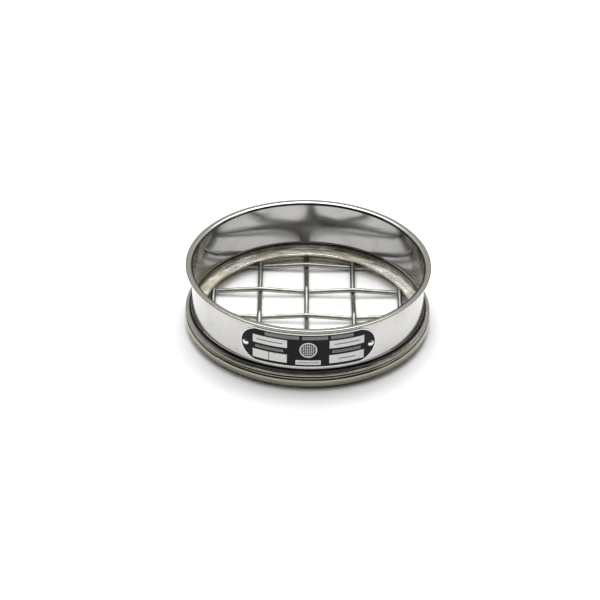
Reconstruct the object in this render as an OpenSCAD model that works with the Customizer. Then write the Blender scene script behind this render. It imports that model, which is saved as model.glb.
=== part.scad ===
/* [Frame] */
// Inside diameter of the frame
bore_d = 203.2; // [180:0.1:248]
// Thickness of the spun sheet
sheet_t = 0.8; // [0.6:0.05:0.95]
// Height from the rest face to the top of the rim
frame_h = 62.5; // [62:0.5:110]
// How far the rim stands out from the bore, at the radius
rim_reach = 6.2; // [5.4:0.1:9]
// Diameter of the closed roll at the edge of the rim and of the foot lip
roll_d = 2; // [1.8:0.05:2.8]
// Outer radius of the flare from the wall into the rim
flare_r = 2.6; // [1.8:0.1:3.2]

/* [Foot of the frame] */
// Height of the underside of the foot lip over the rest face
foot_z = 15.7; // [14.5:0.1:16.6]
// How far the foot lip stands out from the bore, at the radius
lip_reach = 6.6; // [6:0.1:9]
// Radius of the cove between the wall and the foot lip
cove_r = 3.6; // [2:0.1:4]

/* [Lower ring] */
// How far the bead stands out from the bore, at the radius
bead_reach = 7.4; // [7.2:0.1:12]
// Height of the underside of the bead over the rest face
bead_z = 5; // [3.5:0.1:7]
// Radius of the upper corner of the bead
bead_top_r = 3.5; // [2:0.1:3.8]
// Radius of the lower corner of the bead
bead_low_r = 4; // [2:0.1:4.4]
// Gap at the radius between the skirt and the bore that it nests in
nest_gap = 0.4; // [0.2:0.05:1]
// Radius of the bend between the bead and the skirt
skirt_bend_r = 1; // [0.6:0.1:2]

/* [Retaining ring] */
// Thickness of the retaining ring
ring_t = 1; // [0.8:0.1:1.4]
// How far the ring stands in from the bore, at the radius
ring_reach = 9.9; // [7:0.1:20]
// Gap between the rolled inner edge and the highest crimps of the cloth
nose_gap = 0.05; // [0.05:0.05:0.5]
// How much lower the outer edge of the flat band lies than the top of the rolled edge
band_fall = 0.2; // [0.1:0.1:0.4]
// Width of the clamped flange between the frame and the lower ring
ring_flange_w = 2.4; // [2:0.1:3]
// Gap between the upright part of the ring and the top of the lower ring
web_gap = 0.4; // [0.2:0.1:0.6]

/* [Wire cloth] */
// Clear opening between two wires
aperture = 37.5; // [30:0.5:42.5]
// Diameter of the wire
wire_d = 4.5; // [3:0.1:5.4]
// Gap between the rest face and the lowest crimps of the cloth
cloth_clear = 0.2; // [0.1:0.05:1]
// Share of the crimp that the front-to-back wires take
warp_share = 0.7; // [0.5:0.01:0.78]
// Gap between two wires where they cross
weave_gap = 0.1; // [0.05:0.05:0.3]
// Radius of a crimp, along the middle of the wire
crimp_r = 12; // [8:0.5:16]
// Place of the middle front-to-back wire, from the axis
cloth_x = -0.7; // [-5:0.1:5]
// Place of the middle left-to-right wire, from the axis
cloth_y = -0.6; // [-5:0.1:5]
// Gap between the cut wire ends and the lower ring
end_gap = 0.5; // [0.3:0.1:0.8]
// How much fuller the bent crests are than the straight wire, at the radius
flank_step = 0.02; // [0.01:0.005:0.03]

/* [Nameplate] */
// Width of the plate, seen from the front
plate_w = 115.8; // [60:0.2:130]
// Height of the plate
plate_h = 34; // [20:0.1:35]
// Thickness of the plate
plate_t = 0.5; // [0.3:0.1:1]
// Distance from the top of the rim to the middle of the plate
plate_drop = 23.3; // [19.8:0.1:24.1]
// Radius of the rounded ends
plate_end_r = 17.6; // [17:0.1:30]
// Gap between the plate and the wall
plate_gap = 0.05; // [0.02:0.01:0.2]

/* [Rivets] */
// Diameter of the rivet head
rivet_head_d = 5.8; // [4:0.1:6.5]
// Height of the rivet head
rivet_head_h = 1.2; // [0.6:0.1:1.8]
// Diameter of the rivet shank
rivet_d = 3; // [2:0.1:3.4]
// Gap between the shank and its hole, at the radius
rivet_gap = 0.05; // [0.05:0.05:0.2]
// Depth of the countersink in the wall that the spread end of the shank fills
rivet_sink = 0.4; // [0.2:0.05:0.5]
// Distance from the middle of a rivet to the end of the plate, along the wall
rivet_edge = 5.3; // [4:0.1:9]
// How far the rivets sit under the middle of the plate
rivet_low = 1.2; // [-3:0.1:3]

/* [Hidden] */
$fn = 144;
wire_fn = 48;

// how far a cutting shape runs past what it cuts
past = 1;

wall_in = bore_d / 2;
wall_out = wall_in + sheet_t;
roll_r = roll_d / 2;

// rim: flare out of the wall, flat, then a closed roll turned back under it
rim_r = wall_in + rim_reach - roll_r;
rim_z = frame_h - roll_r;
flare_x = wall_in + flare_r;
flare_z = frame_h - flare_r;

// foot: cove out of the wall, flat, then a closed roll turned back under it
lip_r = wall_in + lip_reach - roll_r;
lip_z = foot_z + roll_r;
cove_x = wall_out + cove_r;
cove_z = foot_z + roll_d + cove_r;

// lower ring: it clamps the retaining ring's flange under the foot lip
clamp_z = foot_z - ring_t;
bead_r = wall_in + bead_reach;
top_x = bead_r - bead_top_r;
top_z = clamp_z - bead_top_r;
low_x = bead_r - bead_low_r;
low_z = bead_z + bead_low_r;
skirt_out = wall_in - nest_gap;
skirt_in = skirt_out - sheet_t;
bend_x = skirt_out + skirt_bend_r;
bend_z = bead_z - skirt_bend_r;

// cloth: crimped wires on one pitch, each over and under the next
pitch = aperture + wire_d;
crimp = wire_d + weave_gap;
warp_a = crimp * warp_share;
weft_a = crimp - warp_a;
cloth_z = cloth_clear + warp_a + wire_d / 2;
cloth_r = skirt_in - end_gap;
wires = 2;
flank_lap = 0.3;

// retaining ring: flange, upright web, flat band and rolled nose
flange_out = top_x;
web_in = flange_out - ring_flange_w;
web_out = web_in + ring_t;
ring_nose_z = cloth_z + warp_a + wire_d / 2 + nose_gap + ring_t;
nose_x = wall_in - ring_reach + ring_t;
// the top of the band cuts a little into the rolled edge
nose_cut = 0.94 * ring_t;
band_z = ring_nose_z + ring_t - band_fall;

// plate and rivets
plate_z = frame_h - plate_drop;
plate_in = wall_out + plate_gap;
plate_out = plate_in + plate_t;
rivet_a = asin(plate_w / 2 / plate_out) - rivet_edge / plate_out * 180 / PI;

// how far the cone of the spread end runs on inside the shank
tail_lap = 0.05;

function over(i, j) = (abs(i + j) % 2 == 1) ? 1 : -1;
function reach(a) = norm([pitch, 2 * (crimp_r - a)]);
function bend(a) = asin(2 * crimp_r / reach(a)) - atan2(2 * (crimp_r - a), pitch);
function run(a) = sqrt(reach(a) * reach(a) - 4 * crimp_r * crimp_r);

// sheet bent round a quarter turn: it keeps the quarter that side points to
module quarter(x, z, r_in, r_out, side_x, side_z) {
    translate([x, z]) intersection() {
        difference() {
            circle(r = r_out);
            circle(r = r_in);
        }
        translate([side_x < 0 ? -r_out - past : 0, side_z < 0 ? -r_out - past : 0])
            square([r_out + past, r_out + past]);
    }
}

// closed roll: half a turn of sheet on its outer side
module roll(x, z) {
    translate([x, z]) difference() {
        circle(r = roll_r);
        circle(r = roll_r - sheet_t);
        translate([-roll_d, -roll_d]) square([roll_d, 2 * roll_d]);
    }
}

module strip(x0, z0, x1, z1) {
    translate([x0, z0]) square([x1 - x0, z1 - z0]);
}

module frame_section() {
    // wall
    strip(wall_in, cove_z, wall_out, flare_z);
    // rim
    quarter(flare_x, flare_z, flare_r - sheet_t, flare_r, -1, 1);
    strip(flare_x, frame_h - sheet_t, rim_r, frame_h);
    roll(rim_r, rim_z);
    strip(flare_x + sheet_t, frame_h - roll_d, rim_r, frame_h - roll_d + sheet_t);
    // foot
    quarter(cove_x, cove_z, cove_r, cove_r + sheet_t, -1, -1);
    strip(cove_x, foot_z + roll_d - sheet_t, lip_r, foot_z + roll_d);
    roll(lip_r, lip_z);
    strip(web_in + sheet_t, foot_z, lip_r, foot_z + sheet_t);
}

module lower_section() {
    strip(web_out + web_gap, clamp_z - sheet_t, top_x, clamp_z);
    quarter(top_x, top_z, bead_top_r - sheet_t, bead_top_r, 1, 1);
    strip(bead_r - sheet_t, low_z, bead_r, top_z);
    quarter(low_x, low_z, bead_low_r - sheet_t, bead_low_r, 1, -1);
    strip(bend_x, bead_z, low_x, bead_z + sheet_t);
    quarter(bend_x, bend_z, skirt_bend_r, skirt_bend_r + sheet_t, -1, 1);
    strip(skirt_in, 0, skirt_out, bend_z);
}

module ring_section() {
    translate([nose_x, ring_nose_z]) circle(r = ring_t);
    polygon([[nose_x, ring_nose_z], [web_out, band_z - ring_t], [web_out, clamp_z],
             [flange_out, clamp_z], [flange_out, foot_z], [web_in, foot_z],
             [web_in, band_z], [nose_x, ring_nose_z + nose_cut]]);
}

// one wire along X through the axis, its crossings at s0 + k * pitch; a is half its crimp
module crimped_wire(s0, a, index, half) {
    t = bend(a);
    last = min(floor((half - s0) / pitch), wires);
    first = max(ceil((-half - s0) / pitch), -wires);
    for (k = [first : last]) {
        u = over(index, k);
        translate([s0 + k * pitch, 0, u * (a - crimp_r)]) {
            rotate([90, 0, 0]) rotate_extrude(start = 90 * (2 - u) - t, angle = 2 * t)
                translate([crimp_r, 0]) circle(d = wire_d, $fn = wire_fn);
            flank(t, u, run(a));
            if (k == first) flank(-t, u, run(a));
        }
    }
}

// straight part after a crest: it starts inside the crest and ends inside the next one
module flank(t, u, l) {
    rotate([0, u * t, 0]) translate([0, 0, u * crimp_r]) rotate([0, sign(t) * 90, 0])
        translate([0, 0, -flank_lap])
            cylinder(h = l + 2 * flank_lap, r = wire_d / 2 - flank_step, $fn = wire_fn);
}

module cloth_edge() {
    cylinder(r = cloth_r, h = 4 * crimp + 2 * past, center = true);
}

module frame() {
    color("Gainsboro") difference() {
        rotate_extrude() frame_section();
        for (side = [-1, 1]) rivet_hole(side);
    }
}

module lower_ring() {
    color("Silver") rotate_extrude() lower_section();
}

module retaining_ring() {
    color("Tan") rotate_extrude() ring_section();
}

// front-to-back wire, counted from the left
module warp_wire(i) {
    x = cloth_x + i * pitch;
    color("DimGray") translate([0, 0, cloth_z]) intersection() {
        translate([x, 0, 0]) rotate([0, 0, 90])
            crimped_wire(cloth_y, warp_a, i, sqrt(cloth_r * cloth_r - x * x));
        cloth_edge();
    }
}

// left-to-right wire, counted from the front
module weft_wire(j) {
    y = cloth_y + j * pitch;
    color("Gray") translate([0, 0, cloth_z]) intersection() {
        translate([0, y, 0])
            crimped_wire(cloth_x, weft_a, j + 1, sqrt(cloth_r * cloth_r - y * y));
        cloth_edge();
    }
}

module plate_outline() {
    intersection() {
        square([plate_w, plate_h], center = true);
        union() {
            square([plate_w - 2 * plate_end_r, plate_h], center = true);
            for (side = [-1, 1])
                translate([side * (plate_w / 2 - plate_end_r), 0]) circle(r = plate_end_r);
        }
    }
}

module nameplate() {
    color("#202020") difference() {
        intersection() {
            translate([0, 0, plate_z]) rotate([90, 0, 0])
                linear_extrude(height = plate_out + past) plate_outline();
            difference() {
                translate([0, 0, plate_z - plate_h]) cylinder(r = plate_out, h = 2 * plate_h);
                translate([0, 0, plate_z - plate_h - past])
                    cylinder(r = plate_in, h = 2 * (plate_h + past));
            }
        }
        for (side = [-1, 1]) rivet_hole(side);
    }
}

// its local Z points outward along the rivet, from the axis of the frame
module at_rivet(side) {
    translate([0, 0, plate_z - rivet_low]) rotate([0, 0, side * rivet_a]) rotate([90, 0, 0])
        children();
}

// through the wall and the plate, with a countersink on the inside of the frame
module rivet_hole(side) {
    hole_r = rivet_d / 2 + rivet_gap;
    at_rivet(side) {
        translate([0, 0, wall_in - past])
            cylinder(r = hole_r, h = plate_out - wall_in + 2 * past);
        translate([0, 0, wall_in - past])
            cylinder(r1 = hole_r + rivet_sink + past, r2 = hole_r, h = rivet_sink + past);
    }
}

module rivet(side) {
    cap_r = (rivet_head_d * rivet_head_d / 4 + rivet_head_h * rivet_head_h) / (2 * rivet_head_h);
    tail_z = wall_in + rivet_gap;
    color("WhiteSmoke") at_rivet(side) {
        intersection() {
            translate([0, 0, plate_out + rivet_head_h - cap_r]) sphere(r = cap_r);
            translate([0, 0, plate_out])
                cylinder(d = rivet_head_d + past, h = rivet_head_h + past);
        }
        translate([0, 0, tail_z])
            cylinder(d = rivet_d, h = plate_out - tail_z + rivet_head_h / 2);
        translate([0, 0, tail_z])
            cylinder(r1 = rivet_d / 2 + rivet_sink - rivet_gap, r2 = rivet_d / 2 - tail_lap,
                     h = rivet_sink - rivet_gap + tail_lap);
    }
}

frame();
lower_ring();
retaining_ring();
warp_wire(-2);  // warp_wire_1
warp_wire(-1);  // warp_wire_2
warp_wire(0);  // warp_wire_3
warp_wire(1);  // warp_wire_4
warp_wire(2);  // warp_wire_5
weft_wire(-2);  // weft_wire_1
weft_wire(-1);  // weft_wire_2
weft_wire(0);  // weft_wire_3
weft_wire(1);  // weft_wire_4
weft_wire(2);  // weft_wire_5
nameplate();
rivet(-1);  // rivet_left
rivet(1);  // rivet_right
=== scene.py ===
"""Round laboratory test sieve: its finishes, its printed plate and a plain studio."""
import logging
from abc import ABC, abstractmethod
from dataclasses import dataclass
from enum import Enum
from math import radians
from typing import Any, Mapping, Union

import bmesh
import bpy
from mathutils import Matrix, Vector

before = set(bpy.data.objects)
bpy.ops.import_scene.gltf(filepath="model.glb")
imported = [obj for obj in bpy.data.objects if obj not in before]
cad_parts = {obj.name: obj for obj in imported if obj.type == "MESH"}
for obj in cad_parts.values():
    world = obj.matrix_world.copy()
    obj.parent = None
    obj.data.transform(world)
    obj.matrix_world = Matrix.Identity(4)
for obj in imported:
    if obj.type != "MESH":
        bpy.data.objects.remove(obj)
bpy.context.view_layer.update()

LOG = logging.getLogger("sieve")
MM = 0.001
TINY = 1e-6

Colour = tuple[float, float, float]
Point = tuple[float, float, float]
Span = tuple[float, float]
Number = Union["Value", float]


class Axis(Enum):
    """The axis that a straight piece of drawn wire runs along."""

    X = 0
    Y = 1


class Value:
    """A number on a node's socket, on which Python's operators build Math nodes."""

    def __init__(self, bench: "Bench", socket: bpy.types.NodeSocket) -> None:
        """Wrap a socket.

        Args:
            bench: The node tree that the socket belongs to.
            socket: The output socket that carries the number.
        """
        self.bench = bench
        self.socket = socket

    def _maths(self, operation: str, *others: Number) -> "Value":
        """Build one Math node with this number first."""
        return self.bench.maths(operation, self, *others)

    def __add__(self, other: Number) -> "Value":
        """This number plus another."""
        return self._maths("ADD", other)

    __radd__ = __add__

    def __sub__(self, other: Number) -> "Value":
        """This number less another."""
        return self._maths("SUBTRACT", other)

    def __rsub__(self, other: Number) -> "Value":
        """Another number less this one."""
        return self.bench.maths("SUBTRACT", other, self)

    def __mul__(self, other: Number) -> "Value":
        """This number times another."""
        return self._maths("MULTIPLY", other)

    __rmul__ = __mul__

    def __truediv__(self, other: Number) -> "Value":
        """This number over another."""
        return self._maths("DIVIDE", other)

    def __pow__(self, other: Number) -> "Value":
        """This number to a power."""
        return self._maths("POWER", other)

    def __neg__(self) -> "Value":
        """This number with its sign turned."""
        return self._maths("MULTIPLY", -1.0)

    def __abs__(self) -> "Value":
        """This number without its sign."""
        return self._maths("ABSOLUTE")

    def at_least(self, other: Number) -> "Value":
        """The higher of this number and another."""
        return self._maths("MAXIMUM", other)

    def at_most(self, other: Number) -> "Value":
        """The lower of this number and another."""
        return self._maths("MINIMUM", other)

    def around(self, width: float) -> "Value":
        """This noise laid evenly round 0, with the given width in all."""
        return (self - 0.5) * width

    def step(self, low: float, high: float) -> "Value":
        """Rise smoothly from 0 to 1.

        Args:
            low: The number at which the rise starts.
            high: The number at which it ends. With high under low it falls instead.

        Returns:
            The smooth step.
        """
        if high < low:
            return 1 - self.step(high, low)
        node = self.bench.node(
            "ShaderNodeMapRange",
            {"interpolation_type": "SMOOTHSTEP"},
            {"Value": self, "From Min": low, "From Max": high},
        )
        return Value(self.bench, node.outputs["Result"])


class Bench:
    """The node tree of one material or world, and the few ways in which its nodes are made."""

    def __init__(self, owner: Union[bpy.types.Material, bpy.types.World]) -> None:
        """Clear the owner's node tree.

        Args:
            owner: The material or world whose nodes are built.
        """
        owner.use_nodes = True
        self.tree = owner.node_tree
        self.tree.nodes.clear()

    def node(
        self,
        kind: str,
        settings: Mapping[str, Any] | None = None,
        inputs: Mapping[Union[str, int], Any] | None = None,
    ) -> bpy.types.Node:
        """Make one node.

        Args:
            kind: The node's type.
            settings: Its own settings, which are set first.
            inputs: The values or links of its sockets, by name or by number.

        Returns:
            The node.
        """
        node = self.tree.nodes.new(kind)
        for name, value in (settings or {}).items():
            setattr(node, name, value)
        for name, value in (inputs or {}).items():
            self.feed(node.inputs[name], value)
        return node

    def feed(self, socket: bpy.types.NodeSocket, value: Any) -> None:
        """Link a socket to another, or set its value.

        Args:
            socket: The input socket.
            value: A Value, an output socket, a number, or a colour or vector of three.
        """
        if isinstance(value, Value):
            value = value.socket
        if isinstance(value, bpy.types.NodeSocket):
            self.tree.links.new(value, socket)
        elif isinstance(value, (tuple, list)) and socket.type == "RGBA":
            socket.default_value = (*value, 1.0)
        else:
            socket.default_value = value

    def maths(self, operation: str, *operands: Number) -> Value:
        """Build one Math node.

        Args:
            operation: The node's operation.
            operands: Its inputs, in order.

        Returns:
            The result.
        """
        node = self.node("ShaderNodeMath", {"operation": operation}, dict(enumerate(operands)))
        return Value(self, node.outputs[0])

    def place(self) -> bpy.types.NodeSocket:
        """Read the place on the piece.

        Returns:
            The socket of the place, in mm.
        """
        where = self.node("ShaderNodeTexCoord").outputs["Object"]
        scale = {0: where, "Scale": 1 / MM}
        return self.node("ShaderNodeVectorMath", {"operation": "SCALE"}, scale).outputs[0]

    def parts(self, vector: bpy.types.NodeSocket) -> tuple[Value, Value, Value]:
        """The three numbers of a vector."""
        node = self.node("ShaderNodeSeparateXYZ", inputs={0: vector})
        return tuple(Value(self, out) for out in node.outputs)

    def vector(self, x: Number, y: Number, z: Number) -> bpy.types.NodeSocket:
        """A vector from its three numbers."""
        return self.node("ShaderNodeCombineXYZ", inputs={0: x, 1: y, 2: z}).outputs[0]

    def noise(
        self,
        where: bpy.types.NodeSocket,
        scale: float = 1.0,
        detail: float = 3.0,
        rough: float = 0.5,
        also: Number | None = None,
        warp: float = 0.0,
    ) -> Value:
        """Perlin noise from 0 to 1.

        Args:
            where: The point at which it is read.
            scale: How many lumps there are in one unit.
            detail: How many finer layers are added.
            rough: How strong each finer layer is.
            also: A fourth coordinate, if there is one.
            warp: How far the noise bends itself.

        Returns:
            The noise.
        """
        inputs = {"Vector": where, "Scale": scale, "Detail": detail, "Roughness": rough,
                  "Distortion": warp}
        if also is not None:
            inputs["W"] = also
        dimensions = "3D" if also is None else "4D"
        node = self.node("ShaderNodeTexNoise", {"noise_dimensions": dimensions}, inputs)
        return Value(self, node.outputs["Fac"])

    def mix(self, share: Number, first: Any, second: Any) -> bpy.types.NodeSocket:
        """Mix two colours.

        Args:
            share: How much of the second colour there is, from 0 to 1.
            first: A colour or its socket.
            second: Another.

        Returns:
            The socket of the mixed colour.
        """
        node = self.node("ShaderNodeMix", {"data_type": "RGBA"}, {0: share, 6: first, 7: second})
        return node.outputs[2]

    def bump(self, height: Number, depth: float, under: Any = None) -> bpy.types.NodeSocket:
        """Turn a height into a normal.

        Args:
            height: The height, from 0 to 1.
            depth: What a height of 1 is in metres.
            under: The normal that this one is laid over, if there is one.

        Returns:
            The socket of the normal.
        """
        inputs = {"Strength": 1.0, "Distance": depth, "Height": height}
        if under is not None:
            inputs["Normal"] = under
        return self.node("ShaderNodeBump", inputs=inputs).outputs[0]

    def surface(self, **inputs: Any) -> None:
        """End a material in one Principled shader.

        Args:
            inputs: Its sockets, with _ for each space in their names.
        """
        named = {name.replace("_", " "): value for name, value in inputs.items()}
        shader = self.node("ShaderNodeBsdfPrincipled", inputs=named)
        self.node("ShaderNodeOutputMaterial", inputs={"Surface": shader.outputs[0]})


def distance(across: Value, up: Value) -> Value:
    """The distance from the point where both numbers are 0."""
    return (across * across + up * up) ** 0.5


def facing(place: Point, aim: Point) -> Matrix:
    """The matrix of a thing at a place that faces a point along its own -Z."""
    turn = (Vector(aim) - Vector(place)).to_track_quat("-Z", "Y").to_matrix().to_4x4()
    return Matrix.Translation(place) @ turn


@dataclass(frozen=True)
class Finish(ABC):
    """A surface finish, made a material once and then shared.

    Attributes:
        name: The material's name.
    """

    name: str

    @abstractmethod
    def lay(self, bench: Bench) -> None:
        """Build the finish's nodes.

        Args:
            bench: The bench of the finish's material.
        """

    def material(self) -> bpy.types.Material:
        """Find the finish's material, or make it on first use.

        Returns:
            The material.
        """
        found = bpy.data.materials.get(self.name)
        if found is None:
            found = bpy.data.materials.new(self.name)
            self.lay(Bench(found))
        return found

    def dress(self, piece: bpy.types.Object) -> None:
        """Give a piece this finish alone.

        Args:
            piece: The piece, whose mesh is left as it is.
        """
        if not piece.material_slots:
            piece.data.materials.append(self.material())
        for slot in piece.material_slots:
            slot.material = self.material()


@dataclass(frozen=True)
class PaintedShade:
    """A line round the axis along which shade is painted into the colour, in creases and under
    overhangs.

    Attributes:
        radius: Its distance from the axis, in mm.
        height: Its height over the rest face, in mm.
        reach: How far from the line it starts to darken, in mm.
        fade: The width over which it darkens, in mm.
        depth: How dark it gets, from 0 to 1.
    """

    radius: float
    height: float
    reach: float
    fade: float
    depth: float

    def shade(self, radius: Value, height: Value) -> Value:
        """Work out how dark the painted shade makes each place.

        Args:
            radius: The place's distance from the axis, in mm.
            height: The place's height over the rest face, in mm.

        Returns:
            The darkness, from 0 to the crease's depth.
        """
        off = ((radius - self.radius) ** 2 + (height - self.height) ** 2) ** 0.5
        return off.step(self.reach, self.reach - self.fade) * self.depth


@dataclass(frozen=True)
class SpunSteel(Finish):
    """Stainless sheet that was spun on a lathe, with its fine rings and faint hand marks.

    Attributes:
        bright: Its colour where it is clean.
        dull: Its colour where it is handled.
        edge: The colour of the rolled edges outside the wall.
        gloss: The roughness of the clean sheet.
        haze: How much rougher the handled places are.
        ring_gap: The usual distance between two turning rings, in mm.
        ring_depth: How deep the rings are, in mm.
        wave: How deep the sheet's own slow waves are, in mm.
        patch: The usual width of a handled place, in mm.
        painted_shades: The lines along which shade is painted.
        inside: The share of the light that the sheet's inner side keeps, the rest being painted
            shade.
        shadow: The colour that the painted shade goes towards.
        wall: The radius of the middle of the sheet, in mm.
        wall_soft: Half the width over which the sheet's two sides meet, in mm.
        edge_out: How far outside the wall the edges' colour starts and is full, in mm.
        ring_run: How far round the wall a ring keeps its depth, in mm.
        ring_haze: How much the rings change the roughness.
        wave_round: The usual length of a slow wave round the wall, in mm.
        wave_up: The usual length of a slow wave up the wall, in mm.
        handled: The noise at which handled places start and are full.
    """

    bright: Colour
    dull: Colour
    edge: Colour
    gloss: float
    haze: float
    ring_gap: float
    ring_depth: float
    wave: float
    patch: float
    painted_shades: tuple[PaintedShade, ...]
    inside: float = 1.0
    shadow: Colour = (0.02, 0.02, 0.02)
    wall: float = 102.0
    wall_soft: float = 0.15
    edge_out: Span = (1.2, 2.2)
    ring_run: float = 90.0
    ring_haze: float = 0.06
    wave_round: float = 60.0
    wave_up: float = 14.0
    handled: Span = (0.45, 0.75)

    def lay(self, bench: Bench) -> None:
        """Build the rings, the waves, the handled places and the painted shade in the creases
        and on the inner side.

        Args:
            bench: The bench of the finish's material.
        """
        where = bench.place()
        x, y, z = bench.parts(where)
        radius = distance(x, y)
        along = 1 / self.ring_run
        turning = bench.vector(x * along, y * along, z / self.ring_gap)
        rings = bench.noise(turning, detail=4, rough=0.7, also=radius / self.ring_gap)
        handled = bench.noise(where, 1 / self.patch, detail=5, rough=0.6).step(*self.handled)
        waving = bench.vector(x / self.wave_round, y / self.wave_round, z / self.wave_up)
        smooth = bench.bump(bench.noise(waving, detail=1), self.wave * MM)
        # Painted shade: the sheet's inner side is darkened towards the shadow colour.
        dark = radius.step(self.wall + self.wall_soft, self.wall - self.wall_soft)
        dark = dark * (1 - self.inside)
        # Painted shade along each dark line round the axis.
        for painted_shade in self.painted_shades:
            dark = dark.at_least(painted_shade.shade(radius, z))
        outside = radius.step(*(self.wall + out for out in self.edge_out))
        clean = bench.mix(outside, bench.mix(handled, self.bright, self.dull), self.edge)
        bench.surface(
            Base_Color=bench.mix(dark, clean, self.shadow),
            Metallic=1.0,
            Roughness=self.gloss + handled * self.haze + rings.around(self.ring_haze),
            Normal=bench.bump(rings, self.ring_depth * MM, smooth),
        )


@dataclass(frozen=True)
class TinnedSteel(Finish):
    """Hot-tinned steel: warm, soft and a little lumpy, with dull stains.

    Attributes:
        bright: Its colour where the tin is clean.
        stain: Its colour where it is stained.
        web_shade: The colour of the painted shade on the ring's outer part, towards the wall.
        gloss: The roughness of the clean tin.
        haze: How much rougher the stains are.
        metal: How metallic the dull tin is, from 0 to 1.
        middle: The radius of the middle of the ring, in mm.
        lump: The usual length of a lump along the ring, in mm.
        lump_narrow: How many times shorter a lump is across the ring.
        lump_depth: How high the lumps are, in mm.
        lean: How steeply the worn face falls towards the opening, as a slope.
        grain: The usual width of the fine grain, in mm.
        grain_depth: How deep the grain is, in mm.
        grain_haze: How much the grain changes the roughness.
        stain_width: The usual width of a stain, in mm.
        stained: The noise at which stains start and are full.
        web_shade_from: The radii at which the painted shade starts and is full, in mm.
        web_shade_stray: How far the painted shade's edge strays, in mm.
        web_shade_share: How much of the tin's colour the painted shade covers where it is full.
    """

    bright: Colour
    stain: Colour
    web_shade: Colour
    gloss: float
    haze: float
    metal: float
    middle: float
    lump: float
    lump_narrow: float
    lump_depth: float
    lean: float
    grain: float = 0.6
    grain_depth: float = 0.006
    grain_haze: float = 0.06
    stain_width: float = 30.0
    stained: Span = (0.44, 0.64)
    web_shade_from: Span = (101.2, 103.4)
    web_shade_stray: float = 1.5
    web_shade_share: float = 0.5

    def lay(self, bench: Bench) -> None:
        """Build the lumps, the leaning face, the grain, the stains and the painted shade by the
        wall.

        Args:
            bench: The bench of the finish's material.
        """
        where = bench.place()
        x, y, _ = bench.parts(where)
        radius = distance(x, y)
        turns = self.middle / self.lump
        across = radius / self.lump * self.lump_narrow
        drawn = bench.vector(x / radius * turns, y / radius * turns, across)
        lumps = bench.noise(drawn, detail=2, rough=0.45)
        grain = bench.noise(where, 1 / self.grain, detail=2, rough=0.5)
        stains = bench.noise(where, 1 / self.stain_width, detail=4, rough=0.55, warp=0.6)
        stains = stains.step(*self.stained)
        soft = bench.bump(lumps * self.lump_depth + radius * self.lean, MM)
        # Painted shade: the ring's outer part by the wall goes dark, with a ragged edge.
        ragged = radius + (stains + lumps - 1) * self.web_shade_stray
        web_shaded = ragged.step(*self.web_shade_from) * self.web_shade_share
        bench.surface(
            Base_Color=bench.mix(web_shaded, bench.mix(stains, self.bright, self.stain), self.web_shade),
            Metallic=self.metal,
            Roughness=self.gloss + stains * self.haze + grain.around(self.grain_haze),
            Normal=bench.bump(grain, self.grain_depth * MM, soft),
        )


@dataclass(frozen=True)
class DrawnWire(Finish):
    """Steel wire with the long scores of the drawing die.

    Attributes:
        run: The axis that the wire runs along.
        bright: Its colour on the clean wire.
        dull: Its colour in the scores and stains.
        gloss: The roughness of the clean wire.
        score: The usual width of a score, in mm.
        score_length: The usual length of a score, in mm.
        score_depth: How deep the scores are, in mm.
        score_dull: How much of the dull colour a score brings.
        score_haze: How much the scores change the roughness.
        stain_width: The usual width of a stain, in mm.
        stained: The noise at which stains start and are full.
        stain_dull: How much of the dull colour a stain brings.
        stain_haze: How much rougher the stains are.
    """

    run: Axis
    bright: Colour
    dull: Colour
    gloss: float = 0.36
    score: float = 0.35
    score_length: float = 25.0
    score_depth: float = 0.012
    score_dull: float = 0.3
    score_haze: float = 0.12
    stain_width: float = 9.0
    stained: Span = (0.42, 0.72)
    stain_dull: float = 0.7
    stain_haze: float = 0.08

    def lay(self, bench: Bench) -> None:
        """Build the scores along the wire and the stains on it.

        Args:
            bench: The bench of the finish's material.
        """
        where = bench.place()
        sizes = [self.score] * 3
        sizes[self.run.value] = self.score_length
        drawn = [part / size for part, size in zip(bench.parts(where), sizes)]
        scores = bench.noise(bench.vector(*drawn), detail=3, rough=0.6)
        stains = bench.noise(where, 1 / self.stain_width, detail=5, rough=0.6)
        stains = stains.step(*self.stained)
        dull = stains * self.stain_dull + scores * self.score_dull
        bench.surface(
            Base_Color=bench.mix(dull, self.bright, self.dull),
            Metallic=1.0,
            Roughness=self.gloss + stains * self.stain_haze + scores.around(self.score_haze),
            Normal=bench.bump(scores, self.score_depth * MM),
        )


@dataclass(frozen=True)
class RivetHead(Finish):
    """Soft aluminium rivet head with the light dents of its setting tool.

    Attributes:
        colour: Its colour.
        gloss: Its roughness.
        dent: The usual width of a dent, in mm.
        dent_depth: How deep the dents are, in mm.
        grain: The usual width of the fine grain, in mm.
        grain_depth: How deep the grain is, in mm.
        grain_haze: How much the grain changes the roughness.
    """

    colour: Colour
    gloss: float
    dent: float = 1.3
    dent_depth: float = 0.12
    grain: float = 0.15
    grain_depth: float = 0.004
    grain_haze: float = 0.15

    def lay(self, bench: Bench) -> None:
        """Build the dents and a fine grain.

        Args:
            bench: The bench of the finish's material.
        """
        where = bench.place()
        dents = bench.noise(where, 1 / self.dent, detail=2)
        grain = bench.noise(where, 1 / self.grain, detail=2)
        dented = bench.bump(dents, self.dent_depth * MM)
        bench.surface(
            Base_Color=self.colour,
            Metallic=1.0,
            Roughness=self.gloss + grain.around(self.grain_haze),
            Normal=bench.bump(grain, self.grain_depth * MM, dented),
        )


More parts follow.
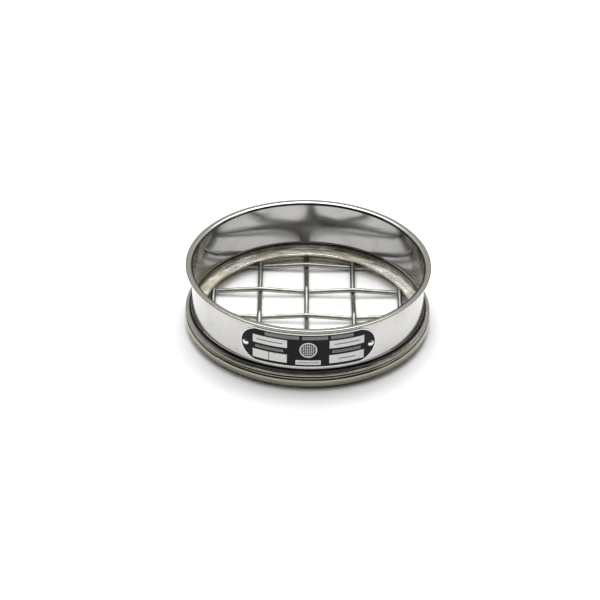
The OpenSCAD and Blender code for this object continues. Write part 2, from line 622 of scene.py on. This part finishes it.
@dataclass(frozen=True)
class PlateOutline:
    """The nameplate's outline as seen from the front, in mm.

    Attributes:
        width: Its width.
        height: Its height.
        end_radius: The radius of its rounded ends.
        middle: The height of its middle over the rest face.
        wall_radius: The radius of its face round the sieve's axis.
        border: The bare border round the print.
        soft: The width of the ground's soft edge.
    """

    width: float = 115.8
    height: float = 34.0
    end_radius: float = 17.6
    middle: float = 39.2
    wall_radius: float = 102.95
    border: float = 1.1
    soft: float = 0.15

    def ground(self, x: Value, z: Value) -> Value:
        """Lay the printed ground inside the bare border.

        Args:
            x: The place across the plate, from its middle.
            z: The place's height over the rest face.

        Returns:
            The mask, which is 1 on the ground.
        """
        straight = self.height / 2 - self.border
        bend = self.end_radius - self.border
        up = abs(z - self.middle)
        end = (abs(x) - (self.width / 2 - self.end_radius)).at_least(0.0)
        rounded = distance(end, up).step(bend, bend - self.soft)
        return up.step(straight, straight - self.soft) * rounded


@dataclass(frozen=True)
class Panel:
    """A rectangle of the print, in mm along the wall and down from the plate's middle.

    Attributes:
        left: Its left edge.
        right: Its right edge.
        top: Its top edge.
        low: Its lower edge.
        soft: Half the width of its soft edges.
    """

    left: float
    right: float
    top: float
    low: float
    soft: float = 0.08

    def mask(self, along: Value, down: Value) -> Value:
        """Lay the rectangle.

        Args:
            along: The place along the wall, from the plate's middle.
            down: The place down from the plate's middle.

        Returns:
            The mask, which is 1 inside.
        """
        half_width = (self.right - self.left) / 2
        half_height = (self.low - self.top) / 2
        across = abs(along - (self.left + self.right) / 2)
        under = abs(down - (self.top + self.low) / 2)
        return (across.step(half_width + self.soft, half_width - self.soft)
                * under.step(half_height + self.soft, half_height - self.soft))


@dataclass(frozen=True)
class MeshDisc:
    """The plain disc in the plate's middle: a light rim round a grid of dark lines, in mm.

    Attributes:
        radius: Its outside radius.
        drop: How far its middle lies under the plate's.
        mesh_gap: The distance between two lines of the grid.
        line: Half the width of a line, where it ends and where the light is full.
        rim: The width of the rim.
        grid_in: How far inside the outside the grid starts.
        soft: The width of its soft edges.
    """

    radius: float = 7.6
    drop: float = -0.9
    mesh_gap: float = 1.7
    line: Span = (0.28, 0.4)
    rim: float = 1.2
    grid_in: float = 1.5
    soft: float = 0.15

    def mask(self, bench: Bench, along: Value, down: Value) -> Value:
        """Lay the disc.

        Args:
            bench: The bench to build on.
            along: The place along the wall, from the plate's middle.
            down: The place down from the plate's middle.

        Returns:
            The mask, which is 1 where the disc is light.
        """
        under = down - self.drop
        radius = distance(along, under)
        rim_in = self.radius - self.rim
        grid_out = self.radius - self.grid_in
        rim = radius.step(self.radius, self.radius - self.soft)
        rim = rim * radius.step(rim_in, rim_in + self.soft)
        half_gap = self.mesh_gap / 2
        lines = [abs(bench.maths("PINGPONG", part + half_gap, self.mesh_gap) - half_gap)
                 for part in (along, under)]
        grid = lines[0].step(*self.line).at_most(lines[1].step(*self.line))
        grid = grid * radius.step(grid_out, grid_out - self.soft)
        return rim.at_least(grid)


@dataclass(frozen=True)
class PrintedPlate(Finish):
    """Black print on a bare plate, with blank light fields and plain bars, and no lettering.

    Attributes:
        outline: The plate that it is on.
        disc: The plain disc in its middle.
        fields: The blank fields.
        bars: The plain bars, which are printed more thinly.
        rules: Thin dark rules on the fields.
        ink: The colour of the black ground.
        blank: The colour of the blank fields.
        bare: The colour of the bare metal.
        bar_share: How light the bars are beside the fields.
        stray: How far the edges of the print stray, in mm.
        stray_width: The usual distance between two strays, in mm.
        speck: The usual width of a speck, in mm.
        chipped: The noise at which the ink starts to be chipped off and is off.
        rub: The usual width of a rubbed place, in mm.
        rubbed: The noise at which rubbed places start and are full.
        grey: The share of their light that the fields keep in their specks.
        dust: How much lighter dust makes the ink.
        cover: How much of a full speck or of full dust shows.
        gloss: The roughness of the ink.
        rubbed_haze: How much rougher the rubbed places are.
        light_haze: How much rougher the fields are.
        bare_shine: How much smoother the bare metal is.
        sheen: How strongly the ink mirrors.
        print_depth: How thick the ink is, in mm.
        speck_depth: How high a speck is, as a share of the ink.
        light_drop: How far the fields lie under the ground, as a share of the ink.
    """

    outline: PlateOutline
    disc: MeshDisc
    fields: tuple[Panel, ...]
    bars: tuple[Panel, ...]
    rules: tuple[Panel, ...]
    ink: Colour
    blank: Colour
    bare: Colour
    bar_share: float = 0.3
    stray: float = 0.12
    stray_width: float = 0.5
    speck: float = 0.7
    chipped: Span = (0.70, 0.76)
    rub: float = 14.0
    rubbed: Span = (0.5, 0.75)
    grey: float = 0.7
    dust: float = 0.012
    cover: float = 0.5
    gloss: float = 0.34
    rubbed_haze: float = 0.12
    light_haze: float = 0.15
    bare_shine: float = 0.1
    sheen: float = 0.12
    print_depth: float = 0.03
    speck_depth: float = 0.15
    light_drop: float = 0.2

    def lay(self, bench: Bench) -> None:
        """Build the print's mask, the worn ink and the bare border.

        Args:
            bench: The bench of the finish's material.
        """
        where = bench.place()
        x, _, z = bench.parts(where)
        printed = self.outline.ground(x, z)
        light = self._light(bench, where)
        specks = bench.noise(where, 1 / self.speck, detail=5, rough=0.7)
        rubbed = bench.noise(where, 1 / self.rub, detail=4).step(*self.rubbed)
        worn = specks.step(*self.chipped) * rubbed
        metal = (1 - printed).at_least(worn * (1 - light))
        greyed = tuple(part * self.grey for part in self.blank)
        dusted = tuple(part + self.dust for part in self.ink)
        fields = bench.mix(specks * self.cover, self.blank, greyed)
        ground = bench.mix(rubbed * self.cover, self.ink, dusted)
        haze = rubbed * self.rubbed_haze + light * self.light_haze
        bench.surface(
            Base_Color=bench.mix(metal, bench.mix(light, ground, fields), self.bare),
            Metallic=metal,
            Roughness=self.gloss + haze - metal * self.bare_shine,
            Specular_IOR_Level=self.sheen,
            Normal=bench.bump(
                printed + specks * self.speck_depth - light * self.light_drop,
                self.print_depth * MM,
            ),
        )

    def _light(self, bench: Bench, where: bpy.types.NodeSocket) -> Value:
        """Lay everything on the ground that is printed light.

        Args:
            bench: The bench to build on.
            where: The socket of the place, in mm.

        Returns:
            The mask, which is 1 on the fields and lower on the bars.
        """
        x, y, z = bench.parts(where)
        along = bench.maths("ARCTAN2", x, -y) * self.outline.wall_radius
        down = self.outline.middle - z
        stray = bench.noise(where, 1 / self.stray_width, detail=3).around(self.stray)
        strayed = (along + stray, down + stray)
        light = self._panels(self.fields, *strayed)
        light = light.at_least(self.disc.mask(bench, *strayed))
        light = light.at_least(self._panels(self.bars, *strayed) * self.bar_share)
        return light * (1 - self._panels(self.rules, along, down))

    @staticmethod
    def _panels(panels: tuple[Panel, ...], along: Value, down: Value) -> Value:
        """The mask of several rectangles, which is 1 inside any of them."""
        return sum(panel.mask(along, down) for panel in panels).at_most(1.0)


@dataclass(frozen=True)
class PaleTable(Finish):
    """The plain pale top that the sieve stands on.

    Attributes:
        colour: Its colour.
        gloss: Its roughness.
    """

    colour: Colour
    gloss: float

    def lay(self, bench: Bench) -> None:
        """Build a plain matt surface."""
        bench.surface(Base_Color=self.colour, Roughness=self.gloss)


@dataclass
class Sheetwork:
    """The spun frame and the lower ring that is folded on under it.

    Attributes:
        wall: The finish of the frame.
        skirt: The finish of the lower ring.
    """

    wall: SpunSteel = SpunSteel(
        "spun_frame_steel", bright=(0.55, 0.54, 0.525), dull=(0.47, 0.46, 0.44),
        edge=(0.43, 0.41, 0.36), gloss=0.09, haze=0.06, ring_gap=0.35, ring_depth=0.003,
        # inside darkens the frame's inner side as painted shade.
        wave=0.12, patch=26, inside=0.72,
        # Painted shade under the rim's roll and in the cove where the wall meets the foot.
        painted_shades=(
            PaintedShade(radius=105, height=58.3, reach=3.2, fade=0.4, depth=0.8),
            PaintedShade(radius=103.8, height=19.4, reach=2.9, fade=1.6, depth=0.95),
        ),
    )
    skirt: SpunSteel = SpunSteel(
        "spun_skirt_steel", bright=(0.42, 0.395, 0.33), dull=(0.27, 0.25, 0.20),
        edge=(0.38, 0.355, 0.29), gloss=0.14, haze=0.12, ring_gap=0.5, ring_depth=0.008,
        wave=0.35, patch=9,
        # Painted shade on the bead's underside, by the table.
        painted_shades=(PaintedShade(radius=109, height=6.5, reach=6.0, fade=3.6, depth=0.45),),
    )

    def build(self, nodes: Mapping[str, bpy.types.Object]) -> list[bpy.types.Object]:
        """Dress both rings.

        Args:
            nodes: The frame's nodes by name.

        Returns:
            The dressed pieces.
        """
        self.wall.dress(nodes["frame"])
        self.skirt.dress(nodes["lower_ring"])
        return [nodes["frame"], nodes["lower_ring"]]


@dataclass
class RetainingRing:
    """The tinned ring that clamps the cloth.

    Attributes:
        tin: Its finish.
    """

    tin: TinnedSteel = TinnedSteel(
        "tinned_ring", bright=(0.95, 0.92, 0.83), stain=(0.55, 0.51, 0.41),
        # The near-black colour is the painted shade on the ring's outer part, by the wall.
        web_shade=(0.03, 0.028, 0.022), gloss=0.23, haze=0.17, metal=0.84, middle=96, lump=22,
        lump_narrow=2.5, lump_depth=1.3, lean=0.28,
    )

    def build(self, nodes: Mapping[str, bpy.types.Object]) -> list[bpy.types.Object]:
        """Dress the ring.

        Args:
            nodes: The frame's nodes by name.

        Returns:
            The dressed piece.
        """
        self.tin.dress(nodes["retaining_ring"])
        return [nodes["retaining_ring"]]


@dataclass
class WireCloth:
    """The crimped wires, five each way.

    Attributes:
        bright: The colour of the clean wire.
        dull: The colour of its scores and stains.
        count: How many wires run each way.
    """

    bright: Colour = (0.37, 0.365, 0.34)
    dull: Colour = (0.24, 0.235, 0.21)
    count: int = 5

    def build(self, nodes: Mapping[str, bpy.types.Object]) -> list[bpy.types.Object]:
        """Dress every wire.

        Args:
            nodes: The frame's nodes by name.

        Returns:
            The dressed pieces.
        """
        dressed = []
        for kind, run in (("warp", Axis.Y), ("weft", Axis.X)):
            drawn = DrawnWire(f"{kind}_wire_steel", run, self.bright, self.dull)
            for number in range(1, self.count + 1):
                wire = nodes[f"{kind}_wire_{number}"]
                drawn.dress(wire)
                dressed.append(wire)
        return dressed


@dataclass
class Nameplate:
    """The curved plate with its plain print, and the two rivets that hold it.

    Attributes:
        outline: The plate's outline.
        disc: The plain disc in its middle.
        rivet: The finish of the rivets.
        ink: The colour of the print's ground.
        blank: The colour of the blank fields.
        bare: The colour of the bare metal.
    """

    outline: PlateOutline = PlateOutline()
    disc: MeshDisc = MeshDisc()
    rivet: RivetHead = RivetHead("rivet_aluminium", colour=(0.80, 0.80, 0.79), gloss=0.3)
    ink: Colour = (0.009, 0.009, 0.009)
    blank: Colour = (0.80, 0.80, 0.78)
    bare: Colour = (0.62, 0.62, 0.60)

    def fields(self) -> tuple[Panel, ...]:
        """List the blank fields, in two columns beside the disc and one under it.

        Returns:
            The fields.
        """
        columns, rows = ((-49.0, -18.2), (18.0, 49.2)), ((-9.7, -1.9), (4.9, 13.3))
        beside = tuple(Panel(*column, *row) for column in columns for row in rows)
        return beside + (Panel(-10.8, 10.8, 9.6, 14.2),)

    def bars(self) -> tuple[Panel, ...]:
        """The thinly printed bars over the fields and along the top."""
        return (
            Panel(-46.5, -21.5, 0.3, 2.9), Panel(20.5, 46.0, 0.3, 2.9),
            Panel(-38.0, -8.0, -14.7, -11.3), Panel(-5.5, 16.5, -14.7, -11.3),
            Panel(19.0, 39.0, -14.7, -11.3),
        )

    def rules(self) -> tuple[Panel, ...]:
        """The thin dark rules on the blank fields."""
        return (
            Panel(-34.4, -33.8, 4.9, 13.3), Panel(-45.5, -22.5, -6.1, -5.3),
            Panel(22.5, 45.5, -6.1, -5.3), Panel(26.0, 41.0, 8.8, 9.6),
            Panel(-9.4, 9.4, 11.6, 12.2), Panel(-45.0, -23.0, 1.4, 1.8),
            Panel(22.0, 44.5, 1.4, 1.8),
        )

    def build(self, nodes: Mapping[str, bpy.types.Object]) -> list[bpy.types.Object]:
        """Dress the plate and its rivets.

        Args:
            nodes: The frame's nodes by name.

        Returns:
            The dressed pieces.
        """
        printed = PrintedPlate(
            "printed_plate", self.outline, self.disc, self.fields(), self.bars(), self.rules(),
            self.ink, self.blank, self.bare,
        )
        printed.dress(nodes["nameplate"])
        rivets = [nodes["rivet_left"], nodes["rivet_right"]]
        for rivet in rivets:
            self.rivet.dress(rivet)
        return [nodes["nameplate"], *rivets]


@dataclass(frozen=True)
class Softbox:
    """A square soft light.

    Attributes:
        name: Its name.
        place: Where it hangs, in metres.
        aim: The point that it faces, in metres.
        size: The length of its sides, in metres.
        power: Its power, in watts.
        mirrored: Whether it shows in polished metal.
    """

    name: str
    place: Point
    aim: Point
    size: float
    power: float
    mirrored: bool = True

    def hang(self) -> None:
        """Make the light and hang it."""
        lamp = bpy.data.lights.new(self.name, "AREA")
        lamp.size = self.size
        lamp.energy = self.power
        light = bpy.data.objects.new(self.name, lamp)
        light.matrix_world = facing(self.place, self.aim)
        light.visible_glossy = self.mirrored
        bpy.context.scene.collection.objects.link(light)


@dataclass(frozen=True)
class Sky:
    """The pale walls and ceiling of the studio, with its dark side in front of the sieve.

    Attributes:
        low: The colour near the table.
        pale: The colour of the walls and the ceiling.
        dark: The colour of the dark side.
        rise: The heights at which the low colour ends and the pale one is full.
        front: How far to the front the dark side starts and is full.
        front_top: The heights at which the dark side ends and is full.
    """

    low: Colour = (0.12, 0.12, 0.12)
    pale: Colour = (0.9, 0.9, 0.9)
    dark: Colour = (0.02, 0.02, 0.02)
    rise: Span = (0.2, 0.7)
    front: Span = (-0.45, 0.2)
    front_top: Span = (0.9, 0.7)

    def hang(self) -> None:
        """Make the sky and hang it round the scene."""
        world = bpy.data.worlds.new("studio_sky")
        bpy.context.scene.world = world
        bench = Bench(world)
        x, y, height = bench.parts(bench.node("ShaderNodeTexCoord").outputs["Generated"])
        level = (x * x + y * y).at_least(TINY) ** 0.5
        shaded = (-y / level).step(*self.front) * height.step(*self.front_top)
        walls = bench.mix(height.step(*self.rise), self.low, self.pale)
        colour = bench.mix(shaded, walls, self.dark)
        sky = bench.node("ShaderNodeBackground", inputs={"Color": colour, "Strength": 1.0})
        bench.node("ShaderNodeOutputWorld", inputs={"Surface": sky.outputs[0]})


@dataclass
class Studio:
    """The pale table, the soft lights round it and the camera.

    Attributes:
        table_size: The length of the table's sides, in metres.
        table: The table's finish.
        sky: The walls and the ceiling.
        softboxes: The lights.
        camera_place: Where the camera stands, in metres.
        camera_aim: The point that it looks at, in metres.
        camera_roll: How far it is turned round its own line of sight, in degrees.
        camera_sight: How far it sees, in metres.
        lens: Its focal length, in mm.
        film: The width of its film, in mm.
    """

    table_size: float = 8.0
    table: PaleTable = PaleTable("pale_table", colour=(0.86, 0.86, 0.86), gloss=0.9)
    sky: Sky = Sky()
    softboxes: tuple[Softbox, ...] = (
        Softbox("overhead_softbox", place=(0.05, 0.62, 1.5), aim=(0.05, 0.62, 0.0),
                size=1.3, power=24.0),
        Softbox("right_softbox", place=(1.5, -0.3, 1.2), aim=(0.35, -0.25, 0.0),
                size=0.5, power=0.8),
        Softbox("front_fill", place=(-0.2, -0.9, 1.6), aim=(0.0, 0.0, 0.0),
                size=1.2, power=16.0, mirrored=False),
    )
    camera_place: Point = (-0.0233945, -1.6868323, 1.1357669)
    camera_aim: Point = (-0.0069285, -0.0105339, 0.030)
    camera_roll: float = 1.05383
    camera_sight: float = 100.0
    lens: float = 136.77
    film: float = 36.0

    def build(self) -> None:
        """Set the table, the sky, the lights and the camera."""
        self._table()
        self.sky.hang()
        for softbox in self.softboxes:
            softbox.hang()
        self._camera()

    def _table(self) -> None:
        """Lay the table top at the rest face."""
        work = bmesh.new()
        bmesh.ops.create_grid(work, x_segments=1, y_segments=1, size=self.table_size / 2)
        mesh = bpy.data.meshes.new("table")
        work.to_mesh(mesh)
        work.free()
        table = bpy.data.objects.new("table", mesh)
        bpy.context.scene.collection.objects.link(table)
        self.table.dress(table)

    def _camera(self) -> None:
        """Stand the camera and make it the scene's own."""
        lens = bpy.data.cameras.new("front_camera")
        lens.lens = self.lens
        lens.sensor_width = self.film
        lens.clip_end = self.camera_sight
        camera = bpy.data.objects.new("front_camera", lens)
        roll = Matrix.Rotation(radians(self.camera_roll), 4, "Z")
        camera.matrix_world = facing(self.camera_place, self.camera_aim) @ roll
        bpy.context.scene.collection.objects.link(camera)
        bpy.context.scene.camera = camera
        bpy.context.scene.view_settings.view_transform = "Standard"


def main() -> None:
    """Build every sub-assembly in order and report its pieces."""
    logging.basicConfig(level=logging.INFO, format="%(name)s: %(message)s")
    for assembly in (Sheetwork(), RetainingRing(), WireCloth(), Nameplate()):
        for piece in assembly.build(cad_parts):
            finish = piece.material_slots[0].material.name
            LOG.info("%s: %s in %s", type(assembly).__name__, piece.name, finish)
    Studio().build()
    LOG.info("Studio: table, sky, lights and camera")


if __name__ == "__main__":
    main()
